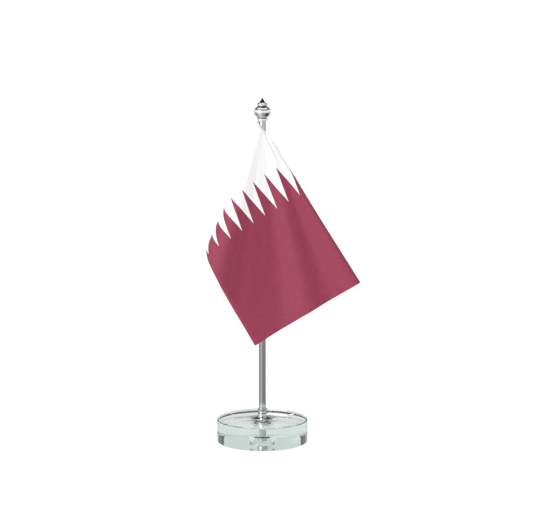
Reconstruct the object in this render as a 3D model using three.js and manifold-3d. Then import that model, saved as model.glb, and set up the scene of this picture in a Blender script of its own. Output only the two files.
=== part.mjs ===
// Desk flag stand: a clear glass disc carries a chromed tube with a turned finial,
// and a small cloth flag hangs by its top hoist corner from a cord loop round the neck
// under the finial, so that the flag swivels about the pole.
// Millimetres, +Z up, origin on the pole's axis at the surface the stand rests on.
// The stand's front faces -Y and the flag's fly points to +X.
import * as THREE from 'three';
import { mergeVertices } from 'three/addons/utils/BufferGeometryUtils.js';
import Module from 'manifold-3d';

const wasm = await Module();
wasm.setup();

const RIGHT_ANGLE = Math.PI / 2;
const FULL_TURN = Math.PI * 2;

// Facets round a turned part, by its size.
const WIDE_FACETS = 64;
const SMALL_FACETS = 32;
const CORD_LOOP_FACETS = 24;
const CORD_SIDES = 8;

// Running and seating gaps.
const SEAT_GAP = 0.05;
const PRESS_GAP = 0.05;
const SLIDE_GAP = 0.1;

// Glass disc, bored for the screw and counterbored from below for its head.
const FOOT_HEIGHT = 1;
const GLASS_RADIUS = 50;
const GLASS_THICKNESS = 25;
const GLASS_BEVEL = 0.9;
const BORE_RADIUS = 4.3;
const RECESS_RADIUS = 10;
const RECESS_DEPTH = 9.5;
const GLASS_BOTTOM = FOOT_HEIGHT;
const GLASS_TOP = GLASS_BOTTOM + GLASS_THICKNESS;
const RECESS_CEILING = GLASS_BOTTOM + RECESS_DEPTH;

// Clear pads under the glass.
const FOOT_RADIUS = 5;
const FOOT_RING_RADIUS = 38;
const FOOT_COUNT = 4;
const COVER_RADIUS = 13;
const PAD_EDGE = 0.25;

// Clamping stack: M5 screw, washers, bush, gasket.
const SCREW_RADIUS = 2.45;
const SCREW_LENGTH = 35;
const SCREW_HEAD_RADIUS = 4.75;
const SCREW_HEAD_HEIGHT = 3.4;
const SCREW_CHAMFER = 0.6;
const HEX_SOCKET_RADIUS = 1.75;
const HEX_SOCKET_DEPTH = 2;
const RUBBER_WASHER_RADIUS = 9;
const RUBBER_WASHER_THICKNESS = 1.5;
const STEEL_WASHER_RADIUS = 7.5;
const STEEL_WASHER_THICKNESS = 1;
const WASHER_HOLE_RADIUS = 2.7;
const BUSH_WALL = 1.5;
const GASKET_RADIUS = 11;
const GASKET_THICKNESS = 0.5;

// Rosette at the foot of the pole and the ferrule that stands on it.
const ROSETTE_RADIUS = 12.2;
const ROSETTE_EDGE = 0.9;
const ROSETTE_CHAMFER = 0.3;
const ROSETTE_BEND_OUT = 0.4;
const ROSETTE_BEND_UP = 0.5;
const ROSETTE_NECK_RADIUS = 5.5;
const ROSETTE_HEIGHT = 3.1;
const FERRULE_RADIUS = 4.95;
const FERRULE_HEIGHT = 8.4;
const FERRULE_GROOVE_HEIGHT = 2.4;
const FERRULE_CHAMFER = 0.4;

// Pole, a thin tube, with a tapped insert pressed into each end.
const POLE_RADIUS = 4;
const POLE_WALL = 0.8;
const POLE_TOP = 360.6;
const INSERT_LENGTH = 15;
const M5_TAP_RADIUS = 2.55;
const M4_TAP_RADIUS = 2.05;

// Neck between the tube's top and the finial, where the cord loop turns.
const NECK_FLANGE_THICKNESS = 0.4;
const NECK_RADIUS = 3;
const NECK_HEIGHT = 1.7;
const NECK_TOP = POLE_TOP + NECK_FLANGE_THICKNESS + NECK_HEIGHT;
const STUD_RADIUS = 1.95;
const STUD_BELOW_NECK = 10;
const STUD_ABOVE_NECK = 7.6;
const STUD_HOLE_SPARE = 1;
const FINIAL_HOLE_DEPTH = 8.4;
const FINIAL_WASHER_RADIUS = 3.5;
const FINIAL_WASHER_THICKNESS = 0.8;
const FINIAL_WASHER_PLAY = 0.2;

// Flag: a rectangle of cloth, its hoist hemmed round a cord.
const HOIST = 140;
const FLY = 210;
const CLOTH_THICKNESS = 0.9;
const CORD_RADIUS = 0.7;
const CORD_GAP = 0.3;
const HEM_RADIUS = 1.3;
const HEM_BORE_RADIUS = 0.9;
const HEM_BORE_OVERRUN = 5;
const KNOT_RADIUS = 1.35;
const TOP_KNOT_RADIUS_ON_NECK = 5.6;
const TOP_KNOT_DROP = 0.85;
const CORD_ENTRY = 6;
const CORD_EXIT = HOIST + 3;
const LOWER_LOOP_DROP = 7;

// Drape. The cloth hangs as a cone whose tip is the top hoist corner. Seen from that
// corner, a thread at cloth angle a from the hoist points at swing(a) to the right of
// straight down and leans lean(a) towards the front.
const CORNER = new THREE.Vector3(1.6, -5, 366.6);
const HOIST_TOP = new THREE.Vector3(-5.6, -3.2, 366.4);
const CORNER_OPENING = 9;
const HOIST_SWING = -2.2;
const HOIST_LEAN = -1.6;
const LEFT_FOLD_ANGLE = 31.3;
const FRONT_START_ANGLE = 45;
const HOIST_HEADING = 242;
const FOLD_HEADING = 84;
const LEFT_HEADING = -23.3;
const RIGHT_HEADING = 3.3;
const HEADING_RISE_START = 44;
const HEADING_RISE_END = 68;
const WAVE_HEADING = 12;
const WAVE_PERIOD = 16;
const WAVE_CREST = 66.5;
const WAVE_FADE_START = 48;
const WAVE_FADE_END = 62;
const DRAPE_STEP = 0.25;
const NORMAL_STEP = 0.5;
const HOIST_BLEND_ANGLE = 28;
const LOW_CORNER_ANGLE = THREE.MathUtils.radToDeg(Math.atan2(FLY, HOIST));
const LOW_COLUMNS = 28;
const FLY_COLUMNS = 12;
const CLOTH_ROWS = 10;

function material(name, colour, roughness, metalness, opacity = 1) {
  const finish = new THREE.MeshStandardMaterial({ color: colour, roughness, metalness });
  finish.name = name;
  finish.opacity = opacity;
  finish.transparent = opacity < 1;
  return finish;
}

const CHROME = () => material('chrome', 0xd4d6d8, 0.08, 1);
const POLE_CHROME = () => material('pole_chrome', 0xa9abad, 0.22, 1);
const STEEL = () => material('zinc_plated_steel', 0xb4b6b6, 0.35, 1);
const BRASS = () => material('brass', 0xb8974f, 0.35, 1);
const GLASS = () => material('glass', 0xcfdedb, 0.02, 0, 0.4);
const CLEAR_PLASTIC = () => material('clear_plastic', 0xe6ebea, 0.2, 0, 0.6);
const NYLON = () => material('nylon', 0xf1f0ea, 0.5, 0);
const RUBBER = () => material('rubber', 0x3a3c3d, 0.85, 0);
const CLOTH = () => material('printed_cloth', 0x9b4160, 0.75, 0);
const CORD = () => material('white_cord', 0xf4f4f2, 0.8, 0);

const stand = new THREE.Group();

function addPart(name, geometry, finish) {
  const mesh = new THREE.Mesh(geometry, finish);
  mesh.name = name;
  stand.add(mesh);
  return mesh;
}

// A solid of revolution about Z. The outline lists [radius, height] from the axis or
// an inner wall, round the section and back; a closed outline repeats its first point.
function turned(outline, facets = SMALL_FACETS) {
  const points = outline.map(([radius, height]) => new THREE.Vector2(radius, height));
  const geometry = new THREE.LatheGeometry(points, facets);
  geometry.rotateX(RIGHT_ANGLE);
  return geometry;
}

function ring(innerRadius, outerRadius, bottom, top, facets = SMALL_FACETS) {
  return turned([
    [innerRadius, bottom],
    [outerRadius, bottom],
    [outerRadius, top],
    [innerRadius, top],
    [innerRadius, bottom],
  ], facets);
}

function pad(radius, facets) {
  return turned([
    [0, 0],
    [radius - PAD_EDGE, 0],
    [radius, PAD_EDGE],
    [radius, FOOT_HEIGHT - SEAT_GAP],
    [0, FOOT_HEIGHT - SEAT_GAP],
  ], facets);
}

function toSolid(geometry) {
  const bare = geometry.clone();
  bare.deleteAttribute('normal');
  bare.deleteAttribute('uv');
  const merged = mergeVertices(bare);
  const mesh = new wasm.Mesh({
    numProp: 3,
    vertProperties: new Float32Array(merged.attributes.position.array),
    triVerts: new Uint32Array(merged.index.array),
  });
  return new wasm.Manifold(mesh);
}

function toGeometry(solid) {
  const mesh = solid.getMesh();
  const geometry = new THREE.BufferGeometry();
  geometry.setAttribute('position', new THREE.BufferAttribute(mesh.vertProperties, 3));
  geometry.setIndex(new THREE.BufferAttribute(mesh.triVerts, 1));
  geometry.computeVertexNormals();
  return geometry;
}

// A round bar from one point to another.
function bar(from, to, radius, sides = 12) {
  const along = to.clone().sub(from);
  const geometry = new THREE.CylinderGeometry(radius, radius, along.length(), sides);
  const up = new THREE.Vector3(0, 1, 0);
  const turn = new THREE.Quaternion().setFromUnitVectors(up, along.clone().normalize());
  geometry.applyQuaternion(turn);
  const middle = from.clone().add(to).multiplyScalar(0.5);
  geometry.translate(middle.x, middle.y, middle.z);
  return geometry;
}

function ball(centre, radius) {
  const geometry = new THREE.SphereGeometry(radius, 10, 8);
  geometry.translate(centre.x, centre.y, centre.z);
  return geometry;
}

function cordLoop(radius, height) {
  const geometry = new THREE.TorusGeometry(radius, CORD_RADIUS, CORD_SIDES, CORD_LOOP_FACETS);
  geometry.translate(0, 0, height);
  return geometry;
}

// ---- Base -------------------------------------------------------------------------

function glassBase() {
  const radius = GLASS_RADIUS;
  const inset = GLASS_RADIUS - GLASS_BEVEL;
  return turned([
    [RECESS_RADIUS, GLASS_BOTTOM],
    [inset, GLASS_BOTTOM],
    [radius, GLASS_BOTTOM + GLASS_BEVEL],
    [radius, GLASS_TOP - GLASS_BEVEL],
    [inset, GLASS_TOP],
    [BORE_RADIUS, GLASS_TOP],
    [BORE_RADIUS, RECESS_CEILING],
    [RECESS_RADIUS, RECESS_CEILING],
    [RECESS_RADIUS, GLASS_BOTTOM],
  ], WIDE_FACETS);
}

const rubberTop = RECESS_CEILING - SEAT_GAP;
const rubberBottom = rubberTop - RUBBER_WASHER_THICKNESS;
const steelBottom = rubberBottom - STEEL_WASHER_THICKNESS;
const gasketBottom = GLASS_TOP + SEAT_GAP;
const gasketTop = gasketBottom + GASKET_THICKNESS;
const rosetteTop = gasketTop + ROSETTE_HEIGHT;

function baseScrew() {
  const headBottom = steelBottom - SCREW_HEAD_HEIGHT;
  const shankEnd = steelBottom + SCREW_LENGTH;
  return turned([
    [0, headBottom + HEX_SOCKET_DEPTH],
    [HEX_SOCKET_RADIUS, headBottom + HEX_SOCKET_DEPTH],
    [HEX_SOCKET_RADIUS, headBottom],
    [SCREW_HEAD_RADIUS - SCREW_CHAMFER, headBottom],
    [SCREW_HEAD_RADIUS, headBottom + SCREW_CHAMFER],
    [SCREW_HEAD_RADIUS, steelBottom],
    [SCREW_RADIUS, steelBottom],
    [SCREW_RADIUS, shankEnd - SCREW_CHAMFER],
    [SCREW_RADIUS - SCREW_CHAMFER, shankEnd],
    [0, shankEnd],
  ]);
}

// The rosette's top sweeps up in a hollow curve from its thin edge to its neck.
function rosette() {
  const edgeTop = gasketTop + ROSETTE_EDGE;
  const inset = ROSETTE_RADIUS - ROSETTE_CHAMFER;
  const start = new THREE.Vector2(inset, edgeTop);
  const bend = new THREE.Vector2(
    ROSETTE_NECK_RADIUS + ROSETTE_BEND_OUT,
    edgeTop + ROSETTE_BEND_UP,
  );
  const end = new THREE.Vector2(ROSETTE_NECK_RADIUS, rosetteTop);
  const sweep = new THREE.QuadraticBezierCurve(start, bend, end).getPoints(6);
  return turned([
    [WASHER_HOLE_RADIUS, gasketTop],
    [inset, gasketTop],
    [ROSETTE_RADIUS, gasketTop + ROSETTE_CHAMFER],
    [ROSETTE_RADIUS, edgeTop - ROSETTE_CHAMFER],
    ...sweep.map((point) => [point.x, point.y]),
    [WASHER_HOLE_RADIUS, rosetteTop],
    [WASHER_HOLE_RADIUS, gasketTop],
  ]);
}

function ferrule() {
  const bottom = rosetteTop;
  const top = bottom + FERRULE_HEIGHT;
  const groove = bottom + FERRULE_GROOVE_HEIGHT;
  const bore = POLE_RADIUS + PRESS_GAP;
  const inset = FERRULE_RADIUS - FERRULE_CHAMFER;
  return turned([
    [bore, bottom],
    [FERRULE_RADIUS, bottom],
    [FERRULE_RADIUS, groove],
    [inset, groove + FERRULE_CHAMFER],
    [FERRULE_RADIUS, groove + 2 * FERRULE_CHAMFER],
    [FERRULE_RADIUS, top - FERRULE_CHAMFER],
    [inset, top],
    [bore, top],
    [bore, bottom],
  ]);
}

addPart('glass_base', glassBase(), GLASS());
addPart('recess_cover', pad(COVER_RADIUS, SMALL_FACETS), CLEAR_PLASTIC());
for (let index = 0; index < FOOT_COUNT; index += 1) {
  const angle = (index + 0.5) * FULL_TURN / FOOT_COUNT;
  const foot = addPart(`foot_${index + 1}`, pad(FOOT_RADIUS, 24), CLEAR_PLASTIC());
  foot.position.set(
    FOOT_RING_RADIUS * Math.cos(angle),
    FOOT_RING_RADIUS * Math.sin(angle),
    0,
  );
}
addPart('base_screw', baseScrew(), STEEL());
addPart('steel_washer',
  ring(WASHER_HOLE_RADIUS, STEEL_WASHER_RADIUS, steelBottom, rubberBottom), STEEL());
addPart('rubber_washer',
  ring(WASHER_HOLE_RADIUS, RUBBER_WASHER_RADIUS, rubberBottom, rubberTop), RUBBER());
addPart('bore_bush',
  ring(BORE_RADIUS - BUSH_WALL, BORE_RADIUS - SLIDE_GAP, RECESS_CEILING, GLASS_TOP), NYLON());
addPart('glass_gasket',
  ring(WASHER_HOLE_RADIUS, GASKET_RADIUS, gasketBottom, gasketTop), CLEAR_PLASTIC());
addPart('rosette', rosette(), CHROME());
addPart('ferrule', ferrule(), CHROME());

// ---- Pole -------------------------------------------------------------------------

const tubeBore = POLE_RADIUS - POLE_WALL;
const neckBottom = POLE_TOP + NECK_FLANGE_THICKNESS;

function topInsert() {
  const holeBottom = NECK_TOP - STUD_BELOW_NECK - STUD_HOLE_SPARE;
  const insertRadius = tubeBore - PRESS_GAP;
  return turned([
    [0, POLE_TOP - INSERT_LENGTH],
    [insertRadius, POLE_TOP - INSERT_LENGTH],
    [insertRadius, POLE_TOP],
    [POLE_RADIUS, POLE_TOP],
    [POLE_RADIUS, neckBottom],
    [NECK_RADIUS, neckBottom],
    [NECK_RADIUS, NECK_TOP],
    [M4_TAP_RADIUS, NECK_TOP],
    [M4_TAP_RADIUS, holeBottom],
    [0, holeBottom],
  ]);
}

// The finial, tip to collar: a pointed cap, a small bulb, a large bulb and a collar
// that covers the neck. A blind tapped hole and a washer seat open downwards.
function finial() {
  const collarBottom = NECK_TOP;
  const outline = new THREE.Path();
  outline.moveTo(6.2, collarBottom);
  outline.lineTo(6.2, collarBottom + 0.5);
  outline.quadraticCurveTo(5.8, collarBottom + 1.4, 5.75, collarBottom + 3);
  outline.quadraticCurveTo(8.9, collarBottom + 4.7, 9.45, collarBottom + 9);
  outline.quadraticCurveTo(9.5, collarBottom + 13.6, 5.3, collarBottom + 15.4);
  outline.quadraticCurveTo(6.3, collarBottom + 17.2, 5.2, collarBottom + 18.4);
  outline.quadraticCurveTo(4.2, collarBottom + 19.2, 3.4, collarBottom + 19.6);
  outline.lineTo(0, collarBottom + 24.8);
  const washerSeat = FINIAL_WASHER_RADIUS + SLIDE_GAP;
  return turned([
    [0, collarBottom + FINIAL_HOLE_DEPTH],
    [M4_TAP_RADIUS, collarBottom + FINIAL_HOLE_DEPTH],
    [M4_TAP_RADIUS, collarBottom + FINIAL_WASHER_THICKNESS + SEAT_GAP],
    [washerSeat, collarBottom + FINIAL_WASHER_THICKNESS + SEAT_GAP],
    [washerSeat, collarBottom],
    ...outline.getPoints(4).map((point) => [point.x, point.y]),
  ]);
}

addPart('bottom_insert',
  ring(M5_TAP_RADIUS, tubeBore - PRESS_GAP, rosetteTop, rosetteTop + INSERT_LENGTH),
  BRASS());
addPart('pole_tube', ring(tubeBore, POLE_RADIUS, rosetteTop, POLE_TOP), POLE_CHROME());
addPart('top_insert', topInsert(), CHROME());
addPart('finial_stud', turned([
  [0, NECK_TOP - STUD_BELOW_NECK],
  [STUD_RADIUS, NECK_TOP - STUD_BELOW_NECK],
  [STUD_RADIUS, NECK_TOP + STUD_ABOVE_NECK],
  [0, NECK_TOP + STUD_ABOVE_NECK],
]), STEEL());
addPart('finial_washer',
  ring(STUD_RADIUS + FINIAL_WASHER_PLAY, FINIAL_WASHER_RADIUS, NECK_TOP,
    NECK_TOP + FINIAL_WASHER_THICKNESS), NYLON());
addPart('finial', finial(), CHROME());

// ---- Flag -------------------------------------------------------------------------

function ramp(value, start, end) {
  return THREE.MathUtils.smoothstep(value, start, end);
}

// Heading of the cloth's cross-section at a cloth angle, in degrees: 0 runs to the
// right, 90 towards the front, 180 to the left and 270 towards the back.
function heading(angle) {
  if (angle < LEFT_FOLD_ANGLE) {
    return HOIST_HEADING + (FOLD_HEADING - HOIST_HEADING) * angle / LEFT_FOLD_ANGLE;
  }
  const trend = LEFT_HEADING
    + (RIGHT_HEADING - LEFT_HEADING) * ramp(angle, HEADING_RISE_START, HEADING_RISE_END);
  if (angle < FRONT_START_ANGLE) {
    const share = (angle - LEFT_FOLD_ANGLE) / (FRONT_START_ANGLE - LEFT_FOLD_ANGLE);
    return FOLD_HEADING + (trend - FOLD_HEADING) * share;
  }
  const wave = Math.cos(FULL_TURN * (angle - WAVE_CREST) / WAVE_PERIOD);
  return trend + WAVE_HEADING * wave * ramp(angle, WAVE_FADE_START, WAVE_FADE_END);
}

// Directions of the threads that leave the top corner, found by walking along the
// cross-section in small equal steps of cloth angle.
const threadDirections = [];
let swing = HOIST_SWING;
let lean = HOIST_LEAN;
for (let angle = 0; angle <= 90; angle += DRAPE_STEP) {
  const side = THREE.MathUtils.degToRad(swing);
  const front = THREE.MathUtils.degToRad(lean);
  threadDirections.push(new THREE.Vector3(
    Math.sin(side) * Math.cos(front),
    -Math.sin(front),
    -Math.cos(side) * Math.cos(front),
  ));
  const course = THREE.MathUtils.degToRad(heading(angle + DRAPE_STEP / 2));
  swing += DRAPE_STEP * Math.cos(course) / Math.cos(front);
  lean += DRAPE_STEP * Math.sin(course);
}

function threadDirection(angle) {
  const place = Math.min(Math.max(angle / DRAPE_STEP, 0), threadDirections.length - 1);
  const index = Math.min(Math.floor(place), threadDirections.length - 2);
  const blend = threadDirections[index].clone();
  return blend.lerp(threadDirections[index + 1], place - index).normalize();
}

// A point of the cloth's middle surface at a distance from the top corner. Near the
// hoist the threads start from the cord instead of the corner's tip.
function clothPoint(angle, distance) {
  const start = HOIST_TOP.clone();
  start.lerp(CORNER, ramp(angle, 0, HOIST_BLEND_ANGLE));
  return start.addScaledVector(threadDirection(angle), distance);
}

function clothNormal(angle, distance) {
  const across = clothPoint(angle + NORMAL_STEP, distance);
  across.sub(clothPoint(angle - NORMAL_STEP, distance));
  return across.cross(threadDirection(angle)).normalize();
}

function clothReach(angle) {
  const radians = THREE.MathUtils.degToRad(angle);
  if (angle <= LOW_CORNER_ANGLE) {
    return HOIST / Math.cos(radians);
  }
  return FLY / Math.sin(radians);
}

// The cloth starts as a flat box of cells, cloth angle by distance by thickness, and
// each of its points moves to its place on the drape.
function drapedCloth() {
  const columns = LOW_COLUMNS + FLY_COLUMNS;
  const flyOpening = 90 - LOW_CORNER_ANGLE;
  const geometry = new THREE.BoxGeometry(1, 1, CLOTH_THICKNESS, columns, CLOTH_ROWS, 1);
  const position = geometry.attributes.position;
  for (let index = 0; index < position.count; index += 1) {
    const column = Math.round((position.getX(index) + 0.5) * columns);
    const angle = column <= LOW_COLUMNS
      ? LOW_CORNER_ANGLE * column / LOW_COLUMNS
      : LOW_CORNER_ANGLE + flyOpening * (column - LOW_COLUMNS) / FLY_COLUMNS;
    const share = position.getY(index) + 0.5;
    const distance = THREE.MathUtils.lerp(CORNER_OPENING, clothReach(angle), share);
    const point = clothPoint(angle, distance);
    point.addScaledVector(clothNormal(angle, distance), position.getZ(index));
    position.setXYZ(index, point.x, point.y, point.z);
  }
  return geometry;
}

function hoistPoint(distance) {
  return clothPoint(0, distance);
}

function flagCloth() {
  const hem = bar(hoistPoint(CORNER_OPENING), hoistPoint(HOIST), HEM_RADIUS);
  const channelEnd = hoistPoint(HOIST + HEM_BORE_OVERRUN);
  const channel = bar(hoistPoint(0), channelEnd, HEM_BORE_RADIUS);
  return toGeometry(toSolid(drapedCloth()).add(toSolid(hem)).subtract(toSolid(channel)));
}

// The cord: a loop round the neck, a knot, the run inside the hoist hem, and a lower
// loop that ties the bottom of the hoist to the pole.
function flagCord() {
  const neckLoopRadius = NECK_RADIUS + CORD_GAP + CORD_RADIUS;
  const poleLoopRadius = POLE_RADIUS + CORD_GAP + CORD_RADIUS;
  const neckLoopHeight = neckBottom + NECK_HEIGHT / 2;
  const outwards = new THREE.Vector3(HOIST_TOP.x, HOIST_TOP.y, 0).normalize();
  const topKnot = outwards.clone().multiplyScalar(TOP_KNOT_RADIUS_ON_NECK);
  topKnot.z = neckLoopHeight - TOP_KNOT_DROP;
  const entry = hoistPoint(CORD_ENTRY);
  const exit = hoistPoint(CORD_EXIT);
  const lowerLoopHeight = exit.z - LOWER_LOOP_DROP;
  const lowerKnot = new THREE.Vector3(exit.x, exit.y, 0);
  lowerKnot.normalize().multiplyScalar(poleLoopRadius + KNOT_RADIUS);
  lowerKnot.z = lowerLoopHeight;
  const rest = [
    ball(topKnot, KNOT_RADIUS),
    bar(topKnot, entry, CORD_RADIUS, CORD_SIDES),
    ball(entry, CORD_RADIUS),
    bar(entry, exit, CORD_RADIUS, CORD_SIDES),
    ball(exit, CORD_RADIUS),
    bar(exit, lowerKnot, CORD_RADIUS, CORD_SIDES),
    ball(lowerKnot, KNOT_RADIUS),
    cordLoop(poleLoopRadius, lowerLoopHeight),
  ];
  let cord = toSolid(cordLoop(neckLoopRadius, neckLoopHeight));
  for (const piece of rest) {
    cord = cord.add(toSolid(piece));
  }
  return toGeometry(cord);
}

addPart('flag_cloth', flagCloth(), CLOTH());
addPart('flag_cord', flagCord(), CORD());

export default stand;
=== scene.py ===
"""Desk flag stand: the looks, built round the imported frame. Metres, +Z up, front towards -Y."""
import math

import bpy
import numpy as np
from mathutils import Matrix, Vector


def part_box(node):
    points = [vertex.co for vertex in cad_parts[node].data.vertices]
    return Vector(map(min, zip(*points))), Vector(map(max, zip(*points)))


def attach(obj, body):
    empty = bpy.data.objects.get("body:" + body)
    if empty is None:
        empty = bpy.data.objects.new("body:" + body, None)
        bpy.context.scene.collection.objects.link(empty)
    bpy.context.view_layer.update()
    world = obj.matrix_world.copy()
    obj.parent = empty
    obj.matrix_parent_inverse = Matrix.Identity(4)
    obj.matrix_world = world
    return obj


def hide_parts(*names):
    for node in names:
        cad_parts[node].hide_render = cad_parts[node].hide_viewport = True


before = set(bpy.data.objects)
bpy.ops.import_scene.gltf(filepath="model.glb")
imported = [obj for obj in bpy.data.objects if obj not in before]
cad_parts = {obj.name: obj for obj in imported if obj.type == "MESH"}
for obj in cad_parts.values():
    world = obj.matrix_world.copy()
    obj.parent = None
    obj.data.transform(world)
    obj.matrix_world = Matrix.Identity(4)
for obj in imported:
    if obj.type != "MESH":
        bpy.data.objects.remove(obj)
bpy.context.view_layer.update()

MM = 0.001

# ---- Driving values, in millimetres and degrees unless a name says otherwise --------

ROUND_SEGMENTS = 192
SMALL_SEGMENTS = 96
SHARP_ANGLE = 32.0

GLASS_BEVEL = 0.5
GLASS_EDGE_ROUND = 0.12
RECESS_RADIUS = 10.0
BORE_GAP = 0.1
WASHER_HOLE_RADIUS = 2.7
BUSH_BORE = 2.8

# Pole, its inserts and the finial's washer.
TUBE_BORE = 3.2
PRESS_GAP = 0.05
NECK_RADIUS = 3.0
NECK_FLANGE_THICKNESS = 0.4
M5_TAP_RADIUS = 2.55
M4_TAP_RADIUS = 2.05
FINIAL_WASHER_BORE = 2.15

# Threads: the M5 clamping screw and the M4 finial stud.
M5_PITCH = 0.8
M4_PITCH = 0.7
THREAD_DEPTH_SHARE = 0.55
THREAD_STEPS_PER_PITCH = 8
SCREW_SHANK_RADIUS = 2.45
SCREW_SOCKET_RADIUS = 1.95
SCREW_SOCKET_DEPTH = 2.2
HEX_SECTOR = 60.0

# Flag, cut size and drape. These follow the solid in the frame.
HOIST = 140.0
FLY = 210.0
# CORNER is where the cloth's threads would meet, and TIE is where the knot draws them in.
CORNER = np.array([1.6, -5.0, 366.6])
HOIST_TOP = np.array([-5.6, -3.2, 366.4])
TIE = np.array([-5.0, -3.5, 360.8])
TIE_REACH = (14.0, 60.0)
TIE_REACH_ANGLES = (55.0, 88.0)
HOIST_BLEND_ANGLE = 28.0
HOIST_SWING = -2.2
HOIST_LEAN = -1.6
LEFT_FOLD_ANGLE = 31.3
FRONT_START_ANGLE = 45.0
HOIST_HEADING = 242.0
FOLD_HEADING = 84.0
LEFT_HEADING = -23.3
RIGHT_HEADING = 3.3
HEADING_RISE = (44.0, 68.0)
WAVE_HEADING = 12.0
WAVE_PERIOD = 16.0
WAVE_CREST = 66.5
WAVE_FADE = (48.0, 62.0)
DRAPE_STEP = 0.25
# Shallow extra folds, as deep as a share of the distance from the corner.
FOLD_DEPTH_SHARE = 0.0095
FOLD_CREST = 69.3
FOLD_PERIOD = 14.5
FOLD_FADE = (58.0, 66.0)

# Depths of the small wrinkles: pleats under the knot, rays from it and ripples across.
PLEAT_DEPTH = 0.35
RAY_DEPTH = 0.10
RIPPLE_DEPTHS = (0.07, 0.05)

CLOTH_SPACING = 1.0
SLEEVE_SPACING = 0.45
FINE_ROWS_END = 12.0
FINE_ROW_SPACING = 0.5
CLOTH_HALF_THICKNESS = 0.12
HEM_WIDTH = 5.0
HEM_EXTRA = 0.28
HEM_STITCH_INSET = 3.8
STITCH_PITCH = 2.6
STITCH_LENGTH = 1.8
STITCH_SINK = 0.05
STITCH_ARCH = 0.12
SLEEVE_STITCH_LIFT = 0.5
THREAD_RADIUS = 0.13

# Edges that roll back: the curl's radius, each edge's rolled width near the hoist and at the
# fly, the distances from the hoist between which the roll sets in, and those between which
# its width changes from the first to the second.
CURL_RADIUS = 3.2
TOP_CURL = (10.0, 4.4)
TOP_CURL_GROWS = (2.0, 62.0)
LOW_CURL = (6.8, 4.8)
LOW_CURL_GROWS = (14.0, 60.0)
CURL_EASES = (15.0, 210.0)

SLEEVE_START = 5.0
SLEEVE_PROBE = 0.3
SLEEVE_OUTLINE = [
    (5.0, 0.0), (3.2, 0.2), (1.9, 0.75), (0.9, 1.22), (0.0, 1.36), (-0.96, 0.96),
    (-1.36, 0.0), (-0.96, -0.96), (0.0, -1.36), (0.9, -1.26), (1.9, -0.9),
    (3.2, -0.55), (5.2, -0.42), (6.4, -0.42),
]

# Cord: three laid strands in one 1.4 mm cord.
CORD_RADIUS = 0.7
CORD_GAP = 0.3
STRAND_RADIUS = 0.36
STRAND_OFFSET = 0.33
CORD_LAY = 4.2
CORD_STEP = 0.45
STRAND_SIDES = 8
KNOT_RADIUS = 1.35
KNOT_CORD_RADIUS = 0.5
TREFOIL_REACH = 3.6
TOP_KNOT_RADIUS_ON_NECK = 5.6
TOP_KNOT_DROP = 0.85
CORD_ENTRY = 6.0
CORD_EXIT = HOIST + 3.0
LOWER_LOOP_DROP = 7.0

# Printed design: nine white points between maroon ones.
DESIGN_POINTS = 9
WHITE_TIP = 93.5
MAROON_TIP = 53.4
# How far the print runs off its place at the top edge.
PRINT_SLIP = 2.2
MAROON_DEEP = (0.278, 0.022, 0.062, 1.0)
PRINT_RIM = (0.15, 0.010, 0.034, 1.0)
WEAVE_PITCH = 0.5
MAROON = (0.312, 0.030, 0.076, 1.0)
PRINT_WHITE = (0.965, 0.965, 0.965, 1.0)

# Painted shade: a dark colour laid into the finial's grooves, standing in for the dark reflection and
# shade in their hollows.
GROOVE_PAINTED_SHADE = (0.06, 0.06, 0.065, 1.0)

# Camera and studio.
CAMERA_DISTANCE_M = 6.0
CAMERA_ELEVATION = 11.9
CAMERA_TARGET_M = Vector((0.0046, 0.0, 0.2024))
CAMERA_LENS = 367.4
FLOOR_RADIUS_M = 0.55
FLOOR_DROP = 0.2
FLOOR_GLOW = 0.82
KEY_PLACE_M = (-1.5, -1.6, 1.1)
KEY_SIZE_M = 2.2
KEY_POWER = 40.0
KEY_AIM_M = Vector((0.0, 0.0, 0.22))

# How bright each part of the studio is, where 1 is white.
ROOM_LEVEL = 0.75
ROOM_LEVEL_LEFT = 0.38
ROOM_LEVEL_BACK = 0.67
PATCH_LEVEL = 0.05
TENT_LEVEL = 1.0
WALL_LEVEL = 0.45
OVER_WALL_LEVEL = 0.10
CEILING_LEVEL = 0.02
CARD_LEVEL = 0.10
MATT_LEVELS = (0.54, 0.95)
BACKDROP_LEVEL = 1.15


# ---- Small helpers ------------------------------------------------------------------

def smoothstep(value, start, end):
    share = np.clip((value - start) / (end - start), 0.0, 1.0)
    return share * share * (3.0 - 2.0 * share)


def radius_of(node):
    low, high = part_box(node)
    return (high.x - low.x) / 2 / MM


def bottom_of(node):
    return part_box(node)[0].z / MM


def top_of(node):
    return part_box(node)[1].z / MM


def finish_piece(piece, body, finish, nodes=()):
    """Gives a piece its material and its body, and hides the frame nodes it stands for."""
    for material in finish if isinstance(finish, list) else [finish]:
        piece.data.materials.append(material)
    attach(piece, body)
    if nodes:
        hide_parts(*nodes)
    return piece


def new_piece(name, vertices, faces):
    """A smooth mesh object from points in millimetres."""
    mesh = bpy.data.meshes.new(name)
    mesh.from_pydata((np.asarray(vertices) * MM).tolist(), [], faces)
    mesh.validate()
    piece = bpy.data.objects.new(name, mesh)
    bpy.context.scene.collection.objects.link(piece)
    mesh.shade_smooth()
    mesh.set_sharp_from_angle(angle=math.radians(SHARP_ANGLE))
    return piece


def arc(radius, height, count=72):
    """Points round a circle, from its start back to it."""
    angles = np.linspace(0.0, 2 * math.pi, count + 1)
    return np.stack([radius * np.cos(angles), radius * np.sin(angles), np.full(count + 1, height)], 1)


def curve_points(start, bend, end, steps):
    """Points of a quadratic curve after its start."""
    shares = [(index + 1) / steps for index in range(steps)]
    return [
        tuple((1 - s) ** 2 * a + 2 * s * (1 - s) * b + s * s * c for a, b, c in zip(start, bend, end))
        for s in shares
    ]


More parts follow.
